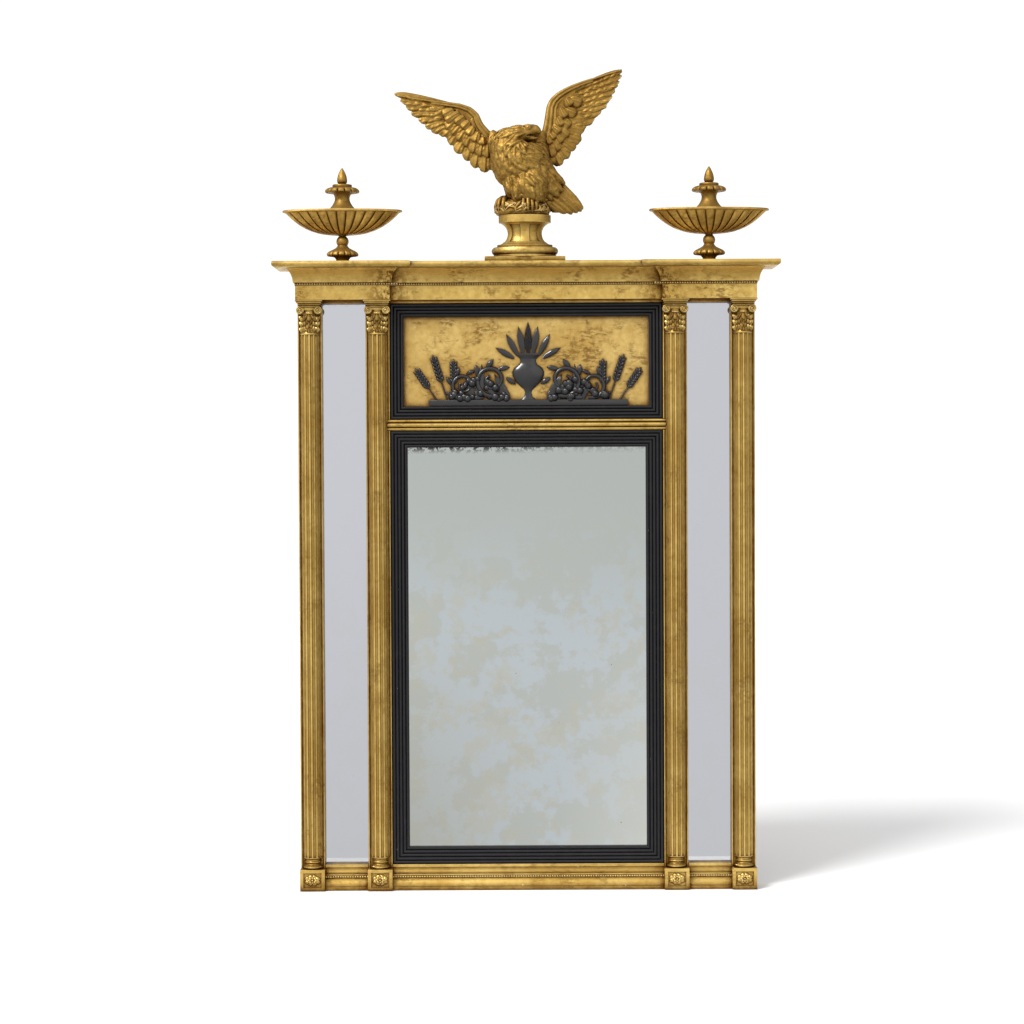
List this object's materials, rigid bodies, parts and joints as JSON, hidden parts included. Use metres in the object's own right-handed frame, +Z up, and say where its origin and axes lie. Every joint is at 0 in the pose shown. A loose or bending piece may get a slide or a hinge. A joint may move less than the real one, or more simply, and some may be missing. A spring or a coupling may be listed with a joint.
{
  "type": "pier mirror",
  "caption": "Upright gilt pier mirror with fluted half columns beside tall plates, a relief tablet over the main plate, a breakfront cornice, tazza finials and a carved eagle.",
  "frame": {"origin": "foot of the back face, on the centre line, on the wall plane", "axes": "+Z up, -Y towards the viewer, +X to the viewer's right; the back lies in the plane y = 0"},
  "size_m": [1.0368, 0.1234, 1.6959],
  "materials": {
    "gilding": "worn water gilding over carved pine and gesso",
    "dark_gilding": "older, darker gilding with wax and dirt in the hollows",
    "ebonised_wood": "black stained and polished wood, soft sheen",
    "pine": "bare, aged pine",
    "mirror_plate": "tin backed mirror glass, foxed with age",
    "iron": "wrought iron, dull"
  },
  "bodies": {
    "root": {"left_outer_stile": "pine", "left_outer_pilaster": "gilding", "left_outer_shaft": "gilding", "left_outer_capital": "gilding", "left_outer_block": "gilding", "left_inner_stile": "pine", "left_inner_pilaster": "gilding", "left_inner_shaft": "gilding", "left_inner_capital": "gilding", "left_inner_block": "gilding", "right_inner_stile": "pine", "right_inner_pilaster": "gilding", "right_inner_shaft": "gilding", "right_inner_capital": "gilding", "right_inner_block": "gilding", "right_outer_stile": "pine", "right_outer_pilaster": "gilding", "right_outer_shaft": "gilding", "right_outer_capital": "gilding", "right_outer_block": "gilding", "column_bases": "gilding", "top_rail": "pine", "cross_rail": "pine", "bottom_rail": "pine", "left_backboard": "pine", "main_backboard": "pine", "right_backboard": "pine", "left_plate": "mirror_plate", "main_plate": "mirror_plate", "right_plate": "mirror_plate", "glue_blocks": "pine", "main_moulding_rails": "ebonised_wood", "main_moulding_stiles": "ebonised_wood", "tablet_moulding_rails": "ebonised_wood", "tablet_moulding_stiles": "ebonised_wood", "tablet_panel": "gilding", "tablet_relief": "ebonised_wood", "divider": "gilding", "entablature_left": "gilding", "entablature_centre": "gilding", "entablature_right": "gilding", "cornice_board": "gilding", "bead_strings": "dark_gilding", "base_moulding_left": "gilding", "base_moulding_centre": "gilding", "base_moulding_right": "gilding", "left_urn_foot": "dark_gilding", "left_urn_bowl": "dark_gilding", "left_urn_cover": "dark_gilding", "right_urn_foot": "dark_gilding", "right_urn_bowl": "dark_gilding", "right_urn_cover": "dark_gilding", "eagle_plinth": "gilding", "eagle_perch": "dark_gilding", "eagle_body": "dark_gilding", "eagle_left_wing": "dark_gilding", "eagle_right_wing": "dark_gilding", "finial_pegs": "pine", "hanging_plates": "iron", "hanging_screws": "iron"}
  },
  "joints": []
}
